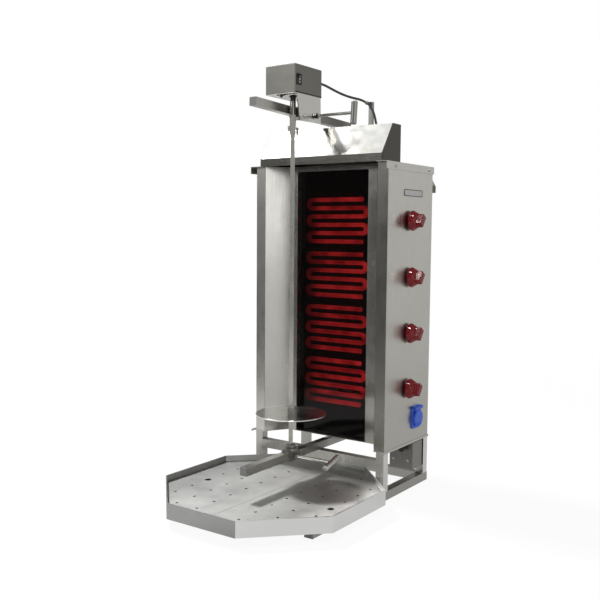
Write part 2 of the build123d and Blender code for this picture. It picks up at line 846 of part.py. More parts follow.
with BuildPart() as motor_gland:
    gland_plane = backward(cable_x, motor_back, cable_z)
    boss(gland_plane, 6, -12)
    hexagon(gland_plane, 9.5, 5)
    boss(gland_plane.offset(5), 7.5, cable_start - motor_back - 5)
    boss(gland_plane.offset(-12), cable_radius, 24, mode=Mode.SUBTRACT)
write_step(motor_gland, "motor_gland")

# Carriage of the motor box on the top rail

bracket_top = motor_base_z - base_plate_thickness
bracket_left = top_rail_x - saddle_side / 2
saddle_front = face_y - 90
saddle_length = 50.0
web_front = face_y - 148
web_back = face_y - 37
cheek = [
    (web_front, bracket_top),
    (web_back, bracket_top),
    (face_y - 35.5, bracket_top - 69),
    (face_y - 134.8, bracket_top - 70.1),
]
with BuildPart() as carriage_bracket:
    web_plane = upright((bracket_left + motor_right) / 2, (web_front + web_back) / 2, bracket_top)
    block(web_plane, motor_right - bracket_left, web_back - web_front, -bracket_sheet)
    outline(outward(motor_right, 0, 0), cheek, -bracket_sheet)
    nut_plane = outward(motor_right, top_clamp_y, top_clamp_z)
    hexagon(nut_plane, clamp_nut_radius, clamp_nut_length)
    boss(nut_plane.offset(-bracket_sheet), clamp_radius + fit_gap, 20, mode=Mode.SUBTRACT)
    boss(upright(spit_x, spit_y, bracket_top), 8, -bracket_sheet, mode=Mode.SUBTRACT)
write_step(carriage_bracket, "carriage_bracket")

with BuildPart() as carriage_saddle:
    square_tube(along_top_rail(saddle_front), saddle_length, saddle_side, saddle_wall)
    spacer_x = top_rail_x + saddle_side / 2
    spacer_length = motor_right - bracket_sheet - spacer_x
    spacer_middle = saddle_front + saddle_length / 2
    spacer_z = along_top_rail(spacer_middle).origin.Z
    block(outward(spacer_x, spacer_middle, spacer_z), saddle_length - 4, saddle_side - 3, spacer_length)
    screw_hole = outward(top_rail_x, top_clamp_y, top_clamp_z)
    boss(screw_hole, clamp_radius + 0.6, motor_right - top_rail_x, mode=Mode.SUBTRACT)
write_step(carriage_saddle, "carriage_saddle")

with BuildPart() as shaft_bushing:
    bushing_plane = upright(spit_x, spit_y, bracket_top - bracket_sheet)
    boss(bushing_plane, bushing_radius, -bushing_length)
    boss(bushing_plane, 10, -2)
    boss(bushing_plane, shaft_radius + fit_gap, -bushing_length, mode=Mode.SUBTRACT)
write_step(shaft_bushing, "shaft_bushing")


def clamp_handle(tip, end, y, z, lean, bar_length):
    """A clamp screw along X with a round crossbar at its outer end, leaning back from upright."""
    boss(outward(tip, y, z), clamp_radius, end - tip)
    angle = math.radians(lean)
    bar_plane = Plane(origin=(end, y, z), z_dir=(0, math.sin(angle), math.cos(angle)))
    boss(bar_plane.offset(-bar_length / 2), bar_radius, bar_length)


def bar_rims(edges):
    """The two round edges at the ends of a crossbar."""
    return edges.filter_by(GeomType.CIRCLE).filter_by(lambda edge: abs(edge.radius - bar_radius) < 0.01)


with BuildPart() as top_clamp_handle:
    tip_x = top_rail_x + rail_side / 2 + slide_gap
    clamp_handle(tip_x, top_clamp_end, top_clamp_y, top_clamp_z, top_bar_lean, top_bar_length)
    fillet(bar_rims(top_clamp_handle.edges()), 3)
write_step(top_clamp_handle, "top_clamp_handle")

# Spit with its drive

pin_plane = Plane(origin=(spit_x, spit_y, pin_z), z_dir=spit_across)
with BuildPart() as drive_shaft:
    boss(upright(spit_x, spit_y, coupling_top), shaft_radius, motor_base_z + shaft_reach - coupling_top)
    sleeve_top = bracket_top - bracket_sheet - bushing_length - 0.5
    boss(upright(spit_x, spit_y, coupling_top), sleeve_radius, sleeve_top - coupling_top)
    block(around_spit(coupling_base), coupling_side, coupling_side, coupling_top - coupling_base, radius=1.5)
    socket_side = spit_side + 2 * fit_gap
    block(around_spit(coupling_base), socket_side, socket_side, spit_top - coupling_base, mode=Mode.SUBTRACT)
    boss(pin_plane.offset(-coupling_side / 2 - 5), 7, 5)
    boss(pin_plane.offset(-20), pin_radius + fit_gap, 40, mode=Mode.SUBTRACT)
write_step(drive_shaft, "drive_shaft")

with BuildPart() as spit:
    block(around_spit(journal_top), spit_side, spit_side, spit_top - journal_top)
    chamfer(spit.faces().sort_by(Axis.Z)[-1].edges(), 1.5)
    boss(upright(spit_x, spit_y, journal_base), journal_radius, journal_top - journal_base)
    chamfer(spit.faces().sort_by(Axis.Z)[0].edges(), 1.5)
    boss(pin_plane.offset(-20), pin_radius + fit_gap, 40, mode=Mode.SUBTRACT)
write_step(spit, "spit")

with BuildPart() as locking_pin:
    boss(pin_plane.offset(-13), pin_radius, 13 + pin_leg)
    leg_top = pin_plane.offset(pin_leg).origin
    boss(Plane(origin=leg_top, z_dir=(0, 0, -1)), pin_radius, 17)
    sphere_at = Location(leg_top)
    with Locations(sphere_at):
        Sphere(pin_radius)
write_step(locking_pin, "locking_pin")

hub_hole = spit_side + 0.4
with BuildPart() as meat_disc:
    boss(upright(spit_x, spit_y, disc_base), disc_radius, disc_thickness)
    fillet(meat_disc.edges().filter_by(GeomType.CIRCLE), 1)
    block(around_spit(disc_base), hub_hole, hub_hole, disc_thickness, mode=Mode.SUBTRACT)
write_step(meat_disc, "meat_disc")

with BuildPart() as disc_collar:
    hub_base = disc_base + disc_thickness
    block(around_spit(hub_base), hub_side, hub_side, hub_height, radius=1.5)
    screw_plane = Plane(origin=(spit_x, spit_y, hub_base + 11), z_dir=spit_facing)
    boss(screw_plane.offset(hub_side / 2 - 1), 4, 5)
    block(around_spit(hub_base), hub_hole, hub_hole, hub_height, mode=Mode.SUBTRACT)
write_step(disc_collar, "disc_collar")

# Lower carriage, which holds the foot of the spit on the bottom rail

lower_saddle_length = 50.0
saddle_right = bottom_rail_x + saddle_side / 2
saddle_top = bottom_rail_z + saddle_side / 2
with BuildPart() as lower_saddle:
    saddle_back = forward(bottom_rail_x, spit_y + lower_saddle_length / 2, bottom_rail_z)
    square_tube(saddle_back, lower_saddle_length, saddle_side, saddle_wall)
    hexagon(outward(saddle_right, lower_clamp_y, lower_clamp_z), clamp_nut_radius, clamp_nut_length)
    screw_bore = outward(bottom_rail_x + rail_side / 2, lower_clamp_y, lower_clamp_z)
    boss(screw_bore, clamp_radius + fit_gap, 14, mode=Mode.SUBTRACT)
write_step(lower_saddle, "lower_saddle")

with BuildPart() as spit_bearing:
    boss(upright(spit_x, spit_y, saddle_top), 22, 6)
    boss(upright(spit_x, spit_y, saddle_top), 13, bearing_top - saddle_top)
    chamfer(spit_bearing.faces().sort_by(Axis.Z)[-1].edges(), 1.5)
    boss(upright(spit_x, spit_y, saddle_top + 1.2), journal_radius + fit_gap, 20, mode=Mode.SUBTRACT)
write_step(spit_bearing, "spit_bearing")

with BuildPart() as lower_clamp_handle:
    tip_x = bottom_rail_x + rail_side / 2 + slide_gap
    clamp_handle(tip_x, lower_clamp_end, lower_clamp_y, lower_clamp_z, lower_bar_lean, lower_bar_length)
    fillet(bar_rims(lower_clamp_handle.edges()), 3)
write_step(lower_clamp_handle, "lower_clamp_handle")


# Drip tray with its two perforated plates

def octagon(inset):
    """The corners of the tray's outline, drawn in by an inset."""
    half = tray_half - inset
    front = tray_front + inset
    back = tray_back - inset
    cut = tray_cut - inset * (2 - math.sqrt(2))
    return [
        (cut - half, front),
        (half - cut, front),
        (half, front + cut),
        (half, back - cut),
        (half - cut, back),
        (cut - half, back),
        (-half, back - cut),
        (-half, front + cut),
    ]


def ring(z, inset, width, height):
    """A ring that follows the tray's outline."""
    with BuildSketch(upright(0, 0, z)) as profile:
        with BuildLine():
            Polyline(*octagon(inset), close=True)
        make_face()
        with BuildLine():
            Polyline(*octagon(inset + width), close=True)
        make_face(mode=Mode.SUBTRACT)
    extrude(profile.sketch, amount=height)


with BuildPart() as drip_tray:
    outline(upright(0, 0, tray_base), octagon(0), sheet)
    ring(tray_base, 0, sheet, tray_rim - tray_base)
    ring(tray_rim - hem_height, 0, hem_width, hem_height)
write_step(drip_tray, "drip_tray")

ledge_z = plate_top - 2 * sheet
tray_length = tray_back - tray_front
tray_middle = (tray_front + tray_back) / 2
with BuildPart() as tray_ledges:
    ring(ledge_z, sheet, ledge_width, sheet)
    seam_plane = upright(plate_seam, tray_middle, tray_base + sheet)
    block(seam_plane, 2 * ledge_width, tray_length - 2 * sheet, ledge_z - tray_base)
write_step(tray_ledges, "tray_ledges")


def hole_places(side):
    """The small holes of one drip plate, left or right of the seam."""
    return [
        (x, hole_row_front + row * hole_row_pitch)
        for x, rows in hole_columns
        for row in rows
        if (x - plate_seam) * side > 0
    ]


def drip_plate(side):
    """One perforated half of the plate over the tray, cut along the seam."""
    outline(upright(0, 0, plate_top - sheet), octagon(sheet + plate_gap), sheet)
    cut_middle = plate_seam - side * (tray_half - seam_gap / 2)
    block(upright(cut_middle, tray_middle, 0), 2 * tray_half, tray_length, 100, mode=Mode.SUBTRACT)
    holes(upright(0, 0, plate_top), hole_places(side), plate_hole_radius, -sheet)
    grips = [place for place in finger_holes if place[0] * side > 0]
    holes(upright(0, 0, plate_top), grips, finger_hole_radius, -sheet)


with BuildPart() as drip_plate_left:
    drip_plate(-1)
write_step(drip_plate_left, "drip_plate_left")

with BuildPart() as drip_plate_right:
    drip_plate(1)
write_step(drip_plate_right, "drip_plate_right")
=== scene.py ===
import json
import math

import bmesh
import bpy
from mathutils import Matrix, Vector

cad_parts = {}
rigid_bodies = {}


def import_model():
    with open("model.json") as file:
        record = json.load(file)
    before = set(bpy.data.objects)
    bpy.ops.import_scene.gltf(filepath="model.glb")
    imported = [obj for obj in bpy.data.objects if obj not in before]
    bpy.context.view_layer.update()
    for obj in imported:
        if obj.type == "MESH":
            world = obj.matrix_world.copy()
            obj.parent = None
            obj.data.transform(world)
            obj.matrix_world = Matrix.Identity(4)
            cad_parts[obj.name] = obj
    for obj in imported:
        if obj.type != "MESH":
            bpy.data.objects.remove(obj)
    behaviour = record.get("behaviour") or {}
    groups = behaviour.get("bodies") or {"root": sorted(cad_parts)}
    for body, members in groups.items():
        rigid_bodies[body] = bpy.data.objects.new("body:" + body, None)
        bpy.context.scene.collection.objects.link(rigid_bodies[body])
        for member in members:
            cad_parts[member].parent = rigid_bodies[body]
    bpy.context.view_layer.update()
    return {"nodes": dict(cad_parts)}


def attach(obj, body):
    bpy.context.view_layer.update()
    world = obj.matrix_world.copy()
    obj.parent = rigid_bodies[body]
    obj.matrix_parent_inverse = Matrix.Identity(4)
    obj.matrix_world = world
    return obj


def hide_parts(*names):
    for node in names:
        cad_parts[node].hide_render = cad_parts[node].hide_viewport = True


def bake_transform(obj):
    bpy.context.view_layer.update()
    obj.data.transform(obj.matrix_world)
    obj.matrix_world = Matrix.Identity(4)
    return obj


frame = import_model()
nodes = frame["nodes"]
scene = bpy.context.scene

# Everything is in metres, in the frame of the CAD model: X right, Y back, Z up.

# Places of the CAD model that several pieces share
half_width = 0.225
face_y = 0.106
back_y = 0.371
right = (1, 0, 0)
knob_y = face_y + 0.131
knob_z = (0.781, 0.621, 0.461, 0.301)

# The side of the studio that reflections show dark, in front and to the left
dark_side = (-0.577, -0.817, 0)


# Camera, at the photograph's viewing angle

camera_place = (1.3268, -1.8480, 0.7478)
camera_azimuth = math.radians(35.21)
camera_pitch = math.radians(4.84)
camera_roll = math.radians(0.46)
camera_lens = 49.344
camera_sensor = 36
camera_shift = (-0.00517, 0.00217)


def make_camera():
    """A camera that stands, leans and looks as the photograph's did."""
    level = Vector((math.cos(camera_azimuth), math.sin(camera_azimuth), 0))
    ahead = Vector((
        -math.sin(camera_azimuth) * math.cos(camera_pitch),
        math.cos(camera_azimuth) * math.cos(camera_pitch),
        -math.sin(camera_pitch),
    ))
    up = level.cross(ahead)
    across = level * math.cos(camera_roll) + up * math.sin(camera_roll)
    top = up * math.cos(camera_roll) - level * math.sin(camera_roll)
    turned = Matrix((across, top, -ahead)).transposed()
    data = bpy.data.cameras.new("camera")
    data.sensor_width = camera_sensor
    data.lens = camera_lens
    data.shift_x, data.shift_y = camera_shift
    camera = bpy.data.objects.new("camera", data)
    scene.collection.objects.link(camera)
    camera.matrix_world = Matrix.Translation(camera_place) @ turned.to_4x4()
    scene.camera = camera


make_camera()


# Meshes

def new_piece(name, data):
    """An object in the scene."""
    made = bpy.data.objects.new(name, data)
    scene.collection.objects.link(made)
    return made


def piece_from(name, work, smooth=True):
    """A piece from a bmesh, with its normals put right."""
    bmesh.ops.remove_doubles(work, verts=work.verts, dist=1e-7)
    bmesh.ops.recalc_face_normals(work, faces=work.faces)
    for face in work.faces:
        face.smooth = smooth
    mesh = bpy.data.meshes.new(name)
    work.to_mesh(mesh)
    work.free()
    return new_piece(name, mesh)


def round_edges(piece, width):
    """Rounds the sharp edges of a piece."""
    bevel = piece.modifiers.new("rounded edges", "BEVEL")
    bevel.width = width
    bevel.segments = 2
    bevel.limit_method = "ANGLE"
    bevel.angle_limit = math.radians(35)
    bevel.harden_normals = True


def small_piece(name, work, body, rounding=0.0, smooth=True):
    """A piece that rides on a body, with its edges rounded where a width is given."""
    piece = piece_from(name, work, smooth)
    if rounding:
        round_edges(piece, rounding)
    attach(piece, body)


def along(normal):
    """A turn that takes Z to a direction."""
    return Vector(normal).to_track_quat("Z", "Y").to_matrix().to_4x4()


def skin(work, rings):
    """Joins rings of points with faces. A ring of one point is a tip."""
    steps = max(len(ring) for ring in rings)
    for low, high in zip(rings, rings[1:]):
        for step in range(steps):
            after = (step + 1) % steps
            corners = []
            for ring, index in ((low, step), (low, after), (high, after), (high, step)):
                corner = ring[index % len(ring)]
                if corner not in corners:
                    corners.append(corner)
            if len(corners) > 2:
                work.faces.new(corners)


def turned_form(work, profile, place, normal, steps=24, reach=None):
    """Adds a form turned round an axis. The profile is (radius, height) pairs, and a radius of 0 is a tip
    on the axis. Reach gives the radius at an angle, where the form is not round."""
    at = Matrix.Translation(place) @ along(normal)
    rings = []
    for radius, height in profile:
        ring = []
        for step in range(steps if radius else 1):
            angle = 2 * math.pi * step / steps
            length = reach(radius, height, angle) if reach else radius
            point = Vector((length * math.cos(angle), length * math.sin(angle), height))
            ring.append(work.verts.new(at @ point))
        rings.append(ring)
    skin(work, rings)


def tube(work, points, radii, steps=24):
    """Adds a closed tube that follows points, with one radius for each point."""
    tangents = []
    for index in range(len(points)):
        before = points[max(index - 1, 0)]
        after = points[min(index + 1, len(points) - 1)]
        tangents.append((after - before).normalized())
    side = tangents[0].orthogonal().normalized()
    rings = []
    for point, tangent, radius in zip(points, tangents, radii):
        side = (side - tangent * side.dot(tangent)).normalized()
        other = tangent.cross(side)
        ring = []
        for step in range(steps):
            angle = 2 * math.pi * step / steps
            outwards = side * math.cos(angle) + other * math.sin(angle)
            ring.append(work.verts.new(point + outwards * radius))
        rings.append(ring)
    skin(work, rings)
    work.faces.new(rings[0])
    work.faces.new(rings[-1])


def rounded_outline(width, height, radius):
    """Points of a rectangle with rounded corners, going round once."""
    corner_steps = 5
    points = []
    for turn, across, up in ((0, 1, 1), (1, -1, 1), (2, -1, -1), (3, 1, -1)):
        for step in range(corner_steps + 1):
            angle = math.pi / 2 * (turn + step / corner_steps)
            x = across * (width / 2 - radius) + radius * math.cos(angle)
            y = up * (height / 2 - radius) + radius * math.sin(angle)
            points.append((x, y))
    return points


def slab(work, size, levels, place, normal, roll=0.0, closed=True):
    """Adds a rounded rectangle of (width, height, corner radius) that rises through levels, which are
    (inset, height) pairs."""
    width, height, radius = size
    smallest_corner = 0.0001
    at = Matrix.Translation(place) @ along(normal) @ Matrix.Rotation(roll, 4, "Z")
    rings = []
    for inset, rise in levels:
        corner = max(radius - inset, smallest_corner)
        outline = rounded_outline(width - 2 * inset, height - 2 * inset, corner)
        rings.append([work.verts.new(at @ Vector((x, y, rise))) for x, y in outline])
    skin(work, rings)
    if closed:
        work.faces.new(rings[0])
        work.faces.new(rings[-1])


# Motor cable, on a smooth line through the route of the CAD cable

cable_route = (
    (-0.008, 0.086, 1.167), (-0.008, 0.131, 1.167), (-0.009, 0.176, 1.161), (-0.006, 0.221, 1.153),
    (0.002, 0.264, 1.147), (0.024, 0.298, 1.142), (0.048, 0.307, 1.124), (0.061, 0.308, 1.096),
    (0.069, 0.308, 1.060), (0.073, 0.307, 1.018), (0.074, 0.306, 0.976), (0.074, 0.306, 0.952),
)
cable_radius = 0.0035
boot_root = 0.0066
boot_end = 0.0043
boot_lip = 0.0038
boot_groove = 0.0006
boot_rings = 23


def line_points(route):
    """Points read from the NURBS line of a route."""
    data = bpy.data.curves.new("cable_line", "CURVE")
    data.dimensions = "3D"
    data.resolution_u = 10
    spline = data.splines.new("NURBS")
    spline.points.add(len(route) - 1)
    for point, place in zip(spline.points, route):
        point.co = (*place, 1)
    spline.order_u = 3
    spline.use_endpoint_u = True
    holder = new_piece("cable_line", data)
    bpy.context.view_layer.update()
    mesh = bpy.data.meshes.new_from_object(holder.evaluated_get(bpy.context.evaluated_depsgraph_get()))
    points = [vertex.co.copy() for vertex in mesh.vertices]
    bpy.data.objects.remove(holder)
    return points


cable_points = line_points(cable_route)


def make_cable():
    """The sheath, a tube along the cable's route between the housing and the motor carriage."""
    work = bmesh.new()
    tube(work, cable_points, [cable_radius] * len(cable_points))
    cable = piece_from("motor_cable_sheath", work)
    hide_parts("motor_cable")
    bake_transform(cable)


def place_at(points, distance):
    """The place at a distance along a line of points."""
    for before, after in zip(points, points[1:]):
        run = (after - before).length
        if distance <= run:
            break
        distance -= run
    return before.lerp(after, distance / run)


def make_boot(name, points, length, body):
    """A ribbed, tapered boot where the cable enters a gland, with a groove at every fifth ring."""
    line = [points[0]]
    radii = [boot_root]
    for ring in range(1, boot_rings + 1):
        line.append(place_at(points, length * ring / boot_rings))
        groove = boot_groove if ring % 5 == 0 and ring < boot_rings - 2 else 0.0
        radii.append(boot_root + (boot_end - boot_root) * (ring / boot_rings) - groove)
    radii[-1] = boot_lip
    work = bmesh.new()
    tube(work, line, radii)
    small_piece(name, work, body)


make_cable()
make_boot("motor_cable_boot", cable_points, length=0.026, body="motor_carriage")
make_boot("lid_cable_boot", cable_points[::-1], length=0.022, body="grill")


# Knobs, each with a skirt like a cone that runs into a square-cut grip

grip_length = 0.0170
grip_width = 0.0096
grip_corner = 0.0186
grip_angle = math.radians(54.4)
grip_start = 0.0205
grip_blend = 0.0060
grip_squareness = 14
knob_profile = (
    (0, 0.0012), (0.0150, 0.0012), (0.0160, 0.0050), (0.0262, 0.0056), (0.0280, 0.0064),
    (0.0287, 0.0078), (0.0286, 0.0094), (0.0277, 0.0112), (0.0263, 0.0137), (0.0249, 0.0162),
    (0.0235, 0.0187), (0.0221, 0.0212), (0.0212, 0.0228), (0.0205, 0.0240), (0.0199, 0.0250),
    (0.0195, 0.0260), (0.0192, 0.0272), (0.0190, 0.0290), (0.0188, 0.0320), (0.0186, 0.0385),
    (0.0184, 0.0400), (0.0178, 0.0409), (0.0168, 0.0413), (0.0155, 0.0414), (0, 0.0414),
)


def grip_reach(radius, height, angle):
    """The skirt is round, and from its neck outwards the knob has the outline of its grip."""
    angle -= grip_angle
    sides = (abs(math.cos(angle)) / grip_length, abs(math.sin(angle)) / grip_width)
    outline = sum(side ** grip_squareness for side in sides) ** (-1 / grip_squareness)
    share = min(max((height - grip_start) / grip_blend, 0), 1)
    share = share * share * (3 - 2 * share)
    return radius * (1 - share + share * outline / grip_corner)


def make_knob(number, z):
    """A knob in place of the plainer CAD knob."""
    work = bmesh.new()
    turned_form(work, knob_profile, (half_width, knob_y, z), right, steps=144, reach=grip_reach)
    knob = piece_from(f"knob_form_{number}", work)
    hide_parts(f"knob_{number}")
    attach(knob, f"regulator_knob_{number}")


for number, z in enumerate(knob_z, start=1):
    make_knob(number, z)


# Small parts that the solids leave out

plate_place = (half_width, 0.2515, 0.8590)
plate_size = (0.1090, 0.0200, 0.0020)
plate_levels = (
    (0, 0), (0, 0.0007), (0.0003, 0.0009), (0.0016, 0.0009), (0.0019, 0.0012), (0.0022, 0.0013),
)
# A black border that paints the shade along the name plate's edge
shade_border_levels = ((0.0006, 0.0009), (0.0006, 0.0015), (0.0024, 0.0015), (0.0024, 0.0009))
rivet_reach = 0.0485
rivet_profile = ((0.0019, 0.0012), (0.0018, 0.0018), (0.0011, 0.0023), (0, 0.0025))


def make_name_plate():
    """A bare name plate with a raised field, held by two rivets, and a black border round its edge that
    paints the plate's shade there.
    """
    work = bmesh.new()
    slab(work, plate_size, plate_levels, plate_place, right)
    small_piece("name_plate", work, "grill", rounding=0.0001)
    work = bmesh.new()
    slab(work, plate_size, shade_border_levels, plate_place, right, closed=False)
    small_piece("name_plate_shade_border", work, "grill")
    work = bmesh.new()
    x, middle, z = plate_place
    for y in (middle - rivet_reach, middle + rivet_reach):
        turned_form(work, rivet_profile, (x, y, z), right, steps=20)
    small_piece("name_plate_rivets", work, "grill")


lid_screw_face = 0.2294
lid_screw_y = (face_y + 0.039, face_y + 0.240)
lid_screw_z = 0.9285
box_screw_x = (0.160, 0.208)
box_screw_face = face_y + 0.1744
box_screw_z = 0.075
# Black crosses and hexagons laid on the screw and bolt heads, painted shade for their recesses
cross_size = (0.0044, 0.0010, 0.0003)
cross_levels = ((0, -0.0004), (0, 0.0001), (0.0001, 0.0002))
cross_turn = 0.4
column_place = (-0.026, face_y + 0.159)
column_bolt_top = 0.9454
column_bolt_reach = 0.022
bolt_recess_shade = ((0.0022, -0.0002), (0.0022, 0.0001), (0.0019, 0.0002), (0, 0.0002))


def make_screw_recess_shades():
    """Black crosses on the pan screws in the lid and the junction box, and black hexagons on the column's
    bolts, which are painted shade standing for their recesses."""
    heads = [((lid_screw_face, y, lid_screw_z), right) for y in lid_screw_y]
    heads += [((x, box_screw_face, box_screw_z), (0, -1, 0)) for x in box_screw_x]
    work = bmesh.new()
    for place, normal in heads:
        for turn in (cross_turn, cross_turn + math.pi / 2):
            slab(work, cross_size, cross_levels, place, normal, turn)
    for x in (-column_bolt_reach, column_bolt_reach):
        for y in (-column_bolt_reach, column_bolt_reach):
            place = (column_place[0] + x, column_place[1] + y, column_bolt_top)
            turned_form(work, bolt_recess_shade, place, (0, 0, 1), steps=6)
    small_piece("screw_recess_shades", work, "grill", smooth=False)


stub_place = (0.0100, -0.024, 1.049)
stub_length = 0.0152
thread_radius = 0.0030
thread_root = 0.0026
thread_pitch = 0.001
thread_turns = 14
stud_place = (-0.020, -0.048, 1.1152)
stud_profile = (
    (0, 0), (0.0042, 0), (0.0042, 0.0052), (0.0036, 0.0060), (0.0030, 0.0080), (0.0018, 0.0090),
    (0, 0.0092),
)
# A black strip that paints the shadow along the motor cover's lower right edge
shade_strip_place = (0.0280, 0.0110, 1.1188)
shade_strip_size = (0.1225, 0.0034, 0.0008)
shade_strip_levels = ((0, -0.0004), (0, 0.0006), (0.0003, 0.0009))


def make_carriage_details():
    """A threaded stub in the bracket's cheek, and under the motor cover a stud and a black strip along the
    cover's lower right edge; the strip is painted shade for the shadow gap there.
    """
    thread = [(0, 0), (0.0024, 0), (thread_radius, 0.0006)]
    for turn in range(thread_turns):
        thread.append((thread_radius, 0.0010 + turn * thread_pitch))
        thread.append((thread_root, 0.0015 + turn * thread_pitch))
    thread += [(thread_radius, stub_length), (0, stub_length)]
    work = bmesh.new()
    turned_form(work, thread, stub_place, right)
    small_piece("bracket_stub", work, "motor_carriage")
    work = bmesh.new()
    turned_form(work, stud_profile, stud_place, (0, 0, -1))
    slab(work, shade_strip_size, shade_strip_levels, shade_strip_place, right)
    small_piece("motor_stud_and_shade_strip", work, "motor_carriage")


rocker_pivot = (0.025, face_y - 0.1405, 1.1525)
rocker_lean = math.radians(8)
hollow_radius = 0.03125
hollow_centre = 0.03675
mark_pitch = 0.0070
bar_size = (0.0046, 0.0016, 0.0006)
bar_levels = ((0, -0.0003), (0, 0.0002), (0.0002, 0.0003))
ring_profile = ((0.0014, 0), (0.0015, 0.0003), (0.0023, 0.0003), (0.0024, 0))


def make_switch_marks():
    """A bar, a ring and a bar on the rocker's hollow face."""
    work = bmesh.new()
    x, y, z = rocker_pivot
    cosine, sine = math.cos(rocker_lean), math.sin(rocker_lean)
    for up in (mark_pitch, 0.0, -mark_pitch):
        out = hollow_centre - math.sqrt(hollow_radius ** 2 - up ** 2)
        place = (x + out * cosine + up * sine, y, z + up * cosine - out * sine)
        normal = (cosine, 0, -sine - up / hollow_radius)
        if up:
            slab(work, bar_size, bar_levels, place, normal)
        else:
            turned_form(work, ring_profile, place, normal)
    small_piece("switch_marks", work, "rocker")


tube_half = 0.0125
post_x = half_width - tube_half
post_y = (face_y + tube_half, back_y - tube_half)
bead_step = 0.0008
bead_reach = 0.011
bead_gap = 0.0002
foot_bead = 0.0016
rail_bead = 0.0015
runner_bead_z = 0.0252
cross_rail_bead_z = 0.0888
bracket_bead = 0.0014
bracket_corner = (0.0248, 1.1118)
bracket_front = face_y - 0.146
bracket_back = face_y - 0.040


def weld(work, start, end, radius):
    """Adds a weld bead with ripples from one place to another."""
    start, end = Vector(start), Vector(end)
    count = max(int((end - start).length / bead_step), 8)
    points = []
    radii = []
    for index in range(count + 1):
        ripple = 0.88 + 0.16 * math.sin(index * 1.35) + 0.05 * math.sin(index * 0.37)
        points.append(start.lerp(end, index / count))
        radii.append(radius * ripple)
    radii[0] = radii[-1] = radius * 0.4
    tube(work, points, radii, steps=10)


def make_welds():
    """Weld beads at the posts' feet and under the cross rails, and in the corner of the bracket."""
    work = bmesh.new()
    for x in (-post_x, post_x):
        inner = x + tube_half if x < 0 else x - tube_half
        for y in post_y:
            front = y - tube_half - bead_gap
            foot = ((x - bead_reach, front, runner_bead_z), (x + bead_reach, front, runner_bead_z))
            weld(work, *foot, foot_bead)
            for z, radius in ((runner_bead_z, foot_bead), (cross_rail_bead_z, rail_bead)):
                weld(work, (inner, y - bead_reach, z), (inner, y + bead_reach, z), radius)
    small_piece("stand_welds", work, "grill")
    work = bmesh.new()
    x, z = bracket_corner
    weld(work, (x, bracket_front, z), (x, bracket_back, z), bracket_bead)
    small_piece("bracket_welds", work, "motor_carriage")


make_name_plate()
make_screw_recess_shades()
make_carriage_details()
make_switch_marks()
make_welds()


# Finishes

class Nodes:
    """A node tree being made, with short calls for what materials and the world share."""

    def __init__(self, tree):
        self.tree = tree

    def add(self, kind, **settings):
        made = self.tree.nodes.new(kind)
        for setting, value in settings.items():
            setattr(made, setting, value)
        return made

    def join(self, source, target):
        self.tree.links.new(source, target)

    def put(self, socket, value):
        """Gives a socket an output, a number or a colour."""
        if isinstance(value, bpy.types.NodeSocket):
            self.join(value, socket)
        else:
            socket.default_value = value

    def combine(self, operation, first, second=0.0):
        """The result of a Math node."""
        made = self.add("ShaderNodeMath", operation=operation)
        self.put(made.inputs[0], first)
        self.put(made.inputs[1], second)
        return made.outputs[0]

    def plus(self, base, output, factor):
        """A base with a share of an output added."""
        return self.combine("ADD", base, self.combine("MULTIPLY", output, factor))

    def ramp(self, source, start, end, low, high, kind):
        """Takes an output from one range to another."""
        made = self.add("ShaderNodeMapRange", interpolation_type=kind)
        values = {"Value": source, "From Min": start, "From Max": end, "To Min": low, "To Max": high}
        for socket, value in values.items():
            self.put(made.inputs[socket], value)
        return made.outputs["Result"]

    def spread(self, source, low, high, start=0.3, end=0.7):
        """Maps noise, or another value from start to end, to a range."""
        return self.ramp(source, start, end, low, high, "LINEAR")

    def eased(self, source, start, end, low=0.0, high=1.0):
        """Goes smoothly from low at the start to high at the end."""
        return self.ramp(source, start, end, low, high, "SMOOTHSTEP")

    def part(self, vector, axis):
        """A vector's part along an axis."""
        made = self.add("ShaderNodeSeparateXYZ")
        self.join(vector, made.inputs[0])
        return made.outputs[axis]

    def facing(self, vector, direction):
        """How far a vector goes in a direction."""
        made = self.add("ShaderNodeVectorMath", operation="DOT_PRODUCT")
        made.inputs[1].default_value = direction
        self.join(vector, made.inputs[0])
        return made.outputs["Value"]

    def rays(self):
        """1 for a ray that the camera sees, also through glass, and 1 for a ray of a reflection."""
        path = self.add("ShaderNodeLightPath")
        seen = self.combine("MAXIMUM", path.outputs["Is Camera Ray"], path.outputs["Is Transmission Ray"])
        return seen, path.outputs["Is Glossy Ray"]


